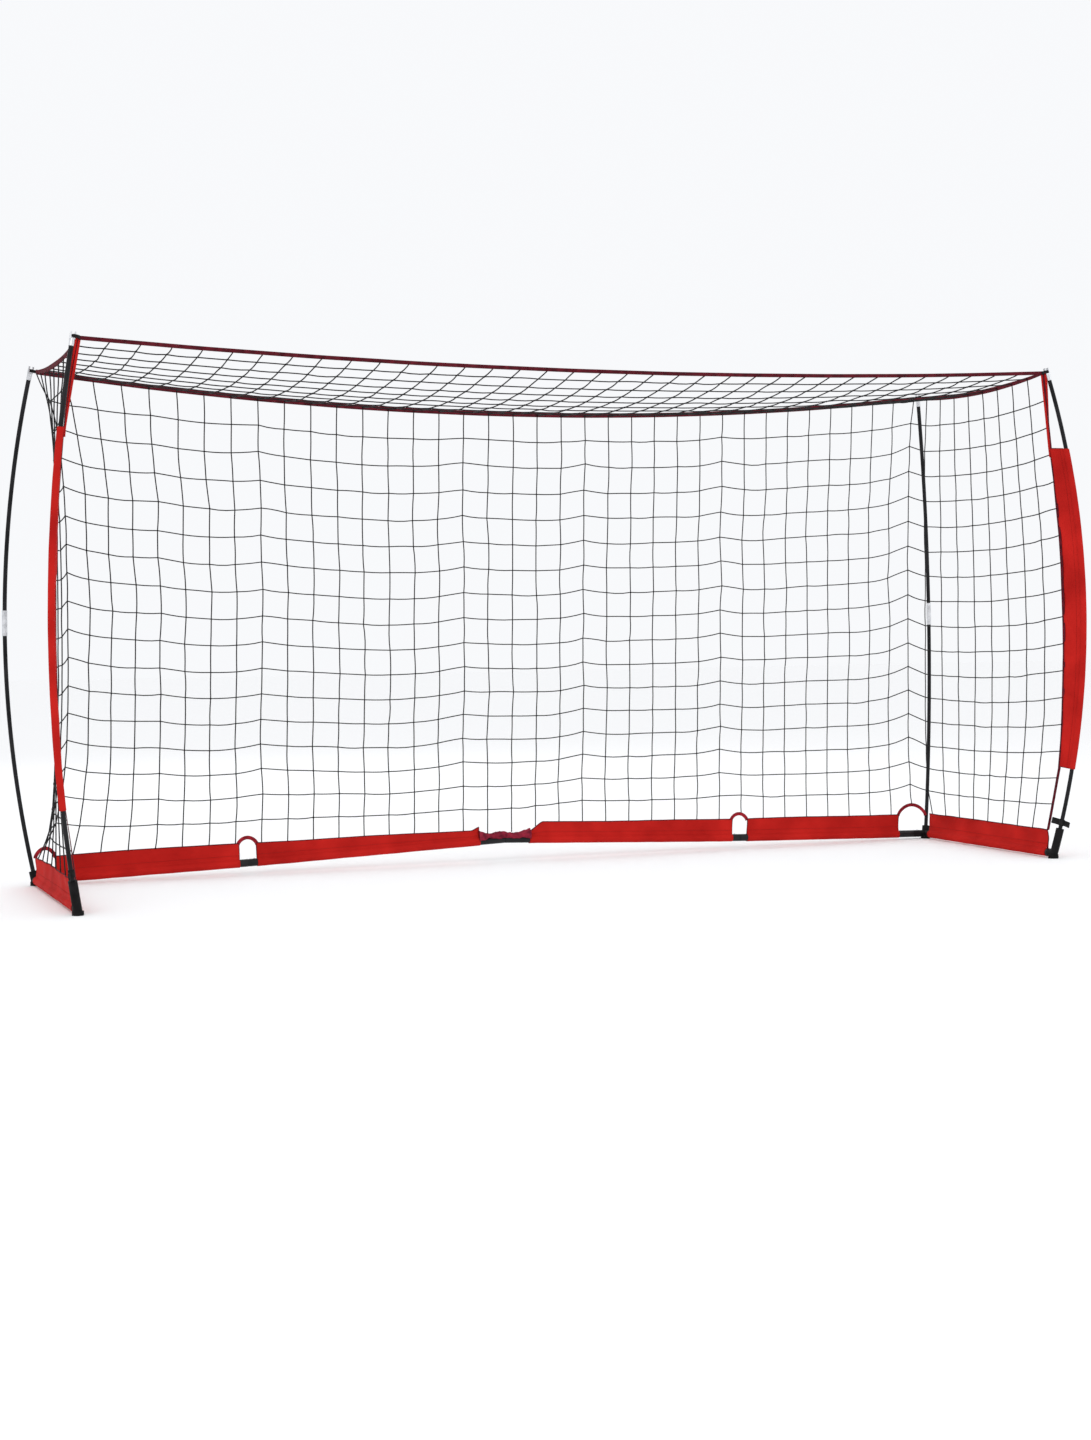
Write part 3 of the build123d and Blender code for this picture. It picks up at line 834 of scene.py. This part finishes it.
def make_loops():
    """Webbing loops that hook the net's corners round the inner tine of each fork."""
    for side, side_name in SIDES.items():
        for end, end_name in ENDS.items():
            corner = f"{end_name}_{side_name}"
            low, high = (np.array(c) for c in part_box(f"corner_loop_{corner}"))
            centre = (low + high) / 2
            _, tangent = pole_point(side, end, 1.80)
            along = unit(RIGHT - tangent * tangent[0])
            other = np.cross(tangent, along)
            centre += RIGHT * side * (high[0] - low[0] - LOOP_LENGTH) / 2
            flat = ring_path(LOOP_LENGTH, LOOP_WIDTH)
            path = centre + flat[:, :1] * along + flat[:, 1:] * other
            piece = strap(
                f"loop_{corner}", path, NARROW_WEBBING, tangent, BLACK_WEBBING, 41, ripple=0.0
            )
            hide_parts(f"corner_loop_{corner}")
            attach(piece, f"upper_pole_{corner}")


def make_ties():
    """A black strap round each front pole and the net's edge, just above the socket, with a loose tail."""
    for side, name in SIDES.items():
        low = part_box(f"pole_tie_{name}")[0][2] - POLE_FOOT_Z
        spots = [pole_point(side, -1, low + step) for step in np.linspace(TIE_BELOW, TIE_ABOVE, 5)]
        fins = [unit(inward(side) - t * inward(side).dot(t)) for _, t in spots]
        normals = [unit(np.cross(t, f)) for (_, t), f in zip(spots, fins)]
        grid = sleeve_grid(
            np.array([p for p, _ in spots]), fins, normals, 0.0098, np.full(5, TIE_REACH), 51, 0.0006
        )
        sleeve(f"tie_{name}", f"pole_tie_{name}", end_body(side), grid, BLACK_WEBBING)

        place, tangent = spots[2]
        t = np.linspace(0, 1, 12)[:, None]
        start = place - fins[2] * 0.0112 + normals[2] * 0.001
        path = start - fins[2] * TIE_TAIL * t - UP * 0.002 * t ** 2 + normals[2] * 0.004 * t
        piece = strap(f"tie_tail_{name}", path, 0.021, tangent, BLACK_WEBBING, 55, ripple=0.0004)
        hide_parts(f"pole_tie_{name}")
        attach(piece, end_body(side))


# ---------------------------------------------------------------- sleeves

def sleeve_grid(origins, fins, sides, loop_r, fin_lengths, seed, ripple):
    """One sheet folded round a tube: down the fin, round the loop and back up the fin."""
    shape = waves(seed, 9)
    fine = waves(seed + 1, 7)
    turns = np.linspace(math.radians(14), math.radians(346), 19)
    heights = np.linspace(1, 0, FIN_COLUMNS)
    along = np.concatenate([[0], np.cumsum(np.linalg.norm(np.diff(origins, axis=0), axis=1))])
    rows = []
    for origin, fin, side, length, s in zip(origins, fins, sides, fin_lengths, along):
        join = loop_r * math.cos(turns[0])
        gap = loop_r * math.sin(turns[0])
        row = []
        for sign in (1, -1):
            layer = []
            for h in heights:
                distance = join + (length - join) * h
                apart = 0.0009 + (gap - 0.0009) * (1 - h) ** 3
                wave = ripple * h * (shape(s * 2.2, distance * 5) + 0.6 * fine(s * 9.0, distance * 14))
                layer.append(origin + fin * distance + side * (sign * apart + wave))
            row.append(layer if sign > 0 else layer[::-1])
        ring = [
            origin + loop_r * (fin * math.cos(a) + side * math.sin(a))
            * (1 + 0.02 * fine(s * 12.0, a * 0.2))
            for a in turns[1:-1]
        ]
        rows.append(row[0] + ring + row[1])
    return np.array(rows)


def sleeve(name, node_name, body, grid, look=RED):
    piece = cloth_piece(name, grid, CLOTH_THICKNESS, look)
    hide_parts(node_name)
    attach(piece, body)
    return piece


def trim(name, grid, body, top=True):
    """Piping along a sleeve's ends and, if top is true, its upper edge, and stitches beside the tube."""
    piping, thread = Mesh(), Mesh()
    fin = (grid[:, :FIN_COLUMNS] + grid[:, ::-1][:, :FIN_COLUMNS]) / 2
    if top:
        piping.tube(fin[:, 0], EDGE_PIPING_R)
    for row in (0, -1):
        piping.tube(fin[row], END_PIPING_R)
    for column, neighbour in ((SEAM_COLUMN, -SEAM_COLUMN - 1), (-SEAM_COLUMN - 1, SEAM_COLUMN)):
        lift = unit(grid[:, column] - grid[:, neighbour]) * 0.0008
        line = grid[:, column] + lift
        for a, b in zip(line[:-1], line[1:]):
            thread.tube([a + (b - a) * 0.15, a + (b - a) * 0.75], STITCH_R, sides=4)
    for bundle, kind, look, slot in (
        (piping, "piping", WEBBING, "webbing"), (thread, "stitches", THREAD, "red_fabric")
    ):
        piece = bundle.piece(f"{name}_{kind}", look)
        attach(piece, body)


def make_ground_sleeves():
    for side, name in SIDES.items():
        for part, body in (("outer", f"rear_{name}_outer"), ("inner", f"rear_{name}_inner")):
            node_name = f"rear_ground_sleeve_{name}_{part}"
            low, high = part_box(node_name)
            xs = np.linspace(low[0] + 0.002, high[0] - 0.002, int((high[0] - low[0]) / 0.008))
            origins = np.array([[x, HALF_DEPTH, TUBE_Z + rear_lift(x)] for x in xs])
            run = unit(origins[-1] - origins[0])
            fin = unit(UP - run * run[2])
            sway = waves(70 + 3 * side + len(part))
            tops = [fin_top(x) + 0.0016 * sway(x * 2.5, 0) for x in xs]
            grid = sleeve_grid(
                origins, [fin] * len(xs), [-BACK] * len(xs), TUBE_R + TUBE_CLEAR,
                tops, 60 + 3 * side + len(part), BAND_RIPPLE,
            )
            sleeve(f"ground_sleeve_{name}_{part}", node_name, body, grid)
            trim(f"ground_sleeve_{name}_{part}", grid, body)
        node_name = f"side_ground_sleeve_{name}"
        low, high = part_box(node_name)
        ys = np.linspace(low[1] + 0.002, high[1] - 0.002, int((high[1] - low[1]) / 0.008))
        origins = np.array([[side * HALF_WIDTH, y, TUBE_Z] for y in ys])
        grid = sleeve_grid(
            origins, [UP] * len(ys), [side * RIGHT] * len(ys), TUBE_R + TUBE_CLEAR,
            np.full(len(ys), BAND_TOP), 80 + side, BAND_RIPPLE,
        )
        sleeve(f"ground_sleeve_{name}_side", node_name, end_body(side), grid)
        trim(f"ground_sleeve_{name}_side", grid, end_body(side))


def make_pole_sleeves():
    for side, name in SIDES.items():
        distances = np.linspace(SLEEVE_LOW, SLEEVE_HIGH, 150)
        spots = [pole_point(side, -1, d) for d in distances]
        origins = np.array([p for p, _ in spots])
        fins = [unit(inward(side) - t * inward(side).dot(t)) for _, t in spots]
        normals = [unit(np.cross(t, f)) for (_, t), f in zip(spots, fins)]
        lengths = [sleeve_width(d) for d in distances]
        grid = sleeve_grid(origins, fins, normals, 0.0108, lengths, 90 + side, POLE_SLEEVE_RIPPLE)
        tangents = np.array([t for _, t in spots])
        reach = np.einsum("ijk,ik->ij", grid - origins[:, None], np.array(fins)) / np.array(lengths)[:, None]
        ends = np.clip(1 - (SLEEVE_HIGH - distances) / SLEEVE_TILT_REACH, 0, 1) ** 2
        grid = grid + (SLEEVE_TILT * reach * ends[:, None])[..., None] * tangents[:, None]
        sleeve(f"pole_sleeve_{name}_cloth", f"pole_sleeve_{name}", end_body(side), grid)
        trim(f"pole_sleeve_{name}_cloth", grid, end_body(side), top=False)


# ---------------------------------------------------------------- webbing over the gaps

def arch_strap(name, node_name, path):
    """Webbing on edge along an arch over a gap in the band."""
    wide = unit(np.cross(np.gradient(path, axis=0), BACK))
    piece = strap(name, path, ARCH_WIDTH, wide, RED_WEBBING, 101)
    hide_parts(node_name)
    return piece


def make_arches():
    """Webbing that arches over the open couplings, from one band's upper edge to the next."""
    for side, name in SIDES.items():
        middle_x, half = CENTRE_X + side * QUARTER_X, QUARTER_HALF
        xs = middle_x + half * np.linspace(-1, 1, 40)
        height = [foot_height(x) - 0.006 for x in xs]
        path = np.stack([xs, np.full(40, HALF_DEPTH), height], axis=1)
        piece = arch_strap(f"arch_{name}", f"gap_arch_{name}", path)
        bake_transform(piece)

        near, far = side * HALF_WIDTH, side * (HALF_WIDTH - CORNER_GAP[side] - 0.004)
        xs = np.linspace(near, far, 50)
        height = [foot_height(x) - 0.005 for x in xs]
        path = resample(np.stack([xs, np.full(50, HALF_DEPTH), height], axis=1), 50)
        piece = arch_strap(f"corner_arch_{name}_strap", f"corner_arch_{name}", path)
        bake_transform(piece)


def make_centre_cover():
    """Crumpled webbing that lies over the centre coupling between the two bands."""
    middle_x, half = (GAP_LOW + GAP_HIGH) / 2, (GAP_HIGH - GAP_LOW) / 2 + 0.006
    shape, fine = waves(131, 9), waves(132, 9)
    rows = []
    for u in np.linspace(-1, 1, 90):
        x = middle_x + half * u
        top = 0.011 + 0.020 * abs(u) ** 5
        lift = rear_lift(x) + TUBE_Z + 0.011
        row = []
        for v in np.linspace(-1, 1, 21):
            drop = abs(v)
            out = math.copysign(0.0182 * math.sin(min(drop * 1.7, math.pi / 2)), v)
            crumple = 0.0035 * shape(x * 16, v * 1.4) + 0.0018 * fine(x * 50, v * 3)
            height = top * (1 - drop ** 2.2) + 0.003 * (1 - drop) - 0.006 * drop ** 3
            row.append([x, HALF_DEPTH + out * (1 + 0.14 * fine(x * 30, v)), lift + height + crumple])
        rows.append(row)
    grid = np.array(rows)
    piece = cloth_piece("centre_cover", grid, COVER_THICKNESS, CRUMPLED)
    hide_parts("gap_arch_centre")
    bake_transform(piece)


# ---------------------------------------------------------------- floor, light and camera

LAMP_SIZE = 5.0
LAMP_AIM = (0, 0, 0.8)
CAMERA_PLACE = (-2.914, -7.361, 0.869)
CAMERA_YAW, CAMERA_PITCH, CAMERA_ROLL = math.radians(21.28), math.radians(-2.28), math.radians(-0.75)
CAMERA_LENS = 71.83


def make_stage():
    pale = new_material("pale_floor", 0.9, Base_Color=(0.985, 0.985, 0.985, 1))
    corners = [(-40, -40, 0), (40, -40, 0), (40, 40, 0), (-40, 40, 0)]
    floor = mesh_object("floor", corners, [(0, 1, 2, 3)], pale)
    world = bpy.data.worlds.new("studio")
    world.use_nodes = True
    world.node_tree.nodes["Background"].inputs["Color"].default_value = (0.97, 0.98, 1.0, 1)
    world.node_tree.nodes["Background"].inputs["Strength"].default_value = 0.97
    bpy.context.scene.world = world
    bpy.context.scene.view_settings.view_transform = "Standard"
    for name, place, power in (
        ("key", (-4.5, -5.5, 6.5), 115),
        ("fill", (5.5, -3.0, 5.0), 45),
        ("back", (0.5, 6.0, 5.0), 45),
    ):
        data = bpy.data.lights.new(name, "AREA")
        data.size = LAMP_SIZE
        data.energy = power
        lamp = bpy.data.objects.new(name, data)
        lamp.location = place
        aim = Vector(LAMP_AIM) - Vector(place)
        lamp.rotation_euler = aim.to_track_quat("-Z", "Y").to_euler()
        bpy.context.collection.objects.link(lamp)


def make_camera():
    """Standing before the mouth, to the left of the left post, looking a little to the right."""
    yaw, pitch, roll = CAMERA_YAW, CAMERA_PITCH, CAMERA_ROLL
    ahead = Vector((math.sin(yaw) * math.cos(pitch), math.cos(yaw) * math.cos(pitch), math.sin(pitch)))
    level = Vector((math.cos(yaw), -math.sin(yaw), 0))
    above = level.cross(ahead)
    x_axis = level * math.cos(roll) + above * math.sin(roll)
    y_axis = above * math.cos(roll) - level * math.sin(roll)
    data = bpy.data.cameras.new("camera")
    data.sensor_fit = "HORIZONTAL"
    data.sensor_width = 36.0
    data.lens = CAMERA_LENS
    item = bpy.data.objects.new("camera", data)
    turn = Matrix((x_axis, y_axis, -ahead)).transposed().to_4x4()
    item.matrix_world = Matrix.Translation(CAMERA_PLACE) @ turn
    bpy.context.collection.objects.link(item)
    bpy.context.scene.camera = item


make_camera()
make_stage()
dress_cad_nodes()
net_panels = build_web()
make_nets(net_panels)
make_top_straps()
make_side_webbing()
make_loops()
make_ties()
make_ground_sleeves()
make_pole_sleeves()
make_arches()
make_centre_cover()
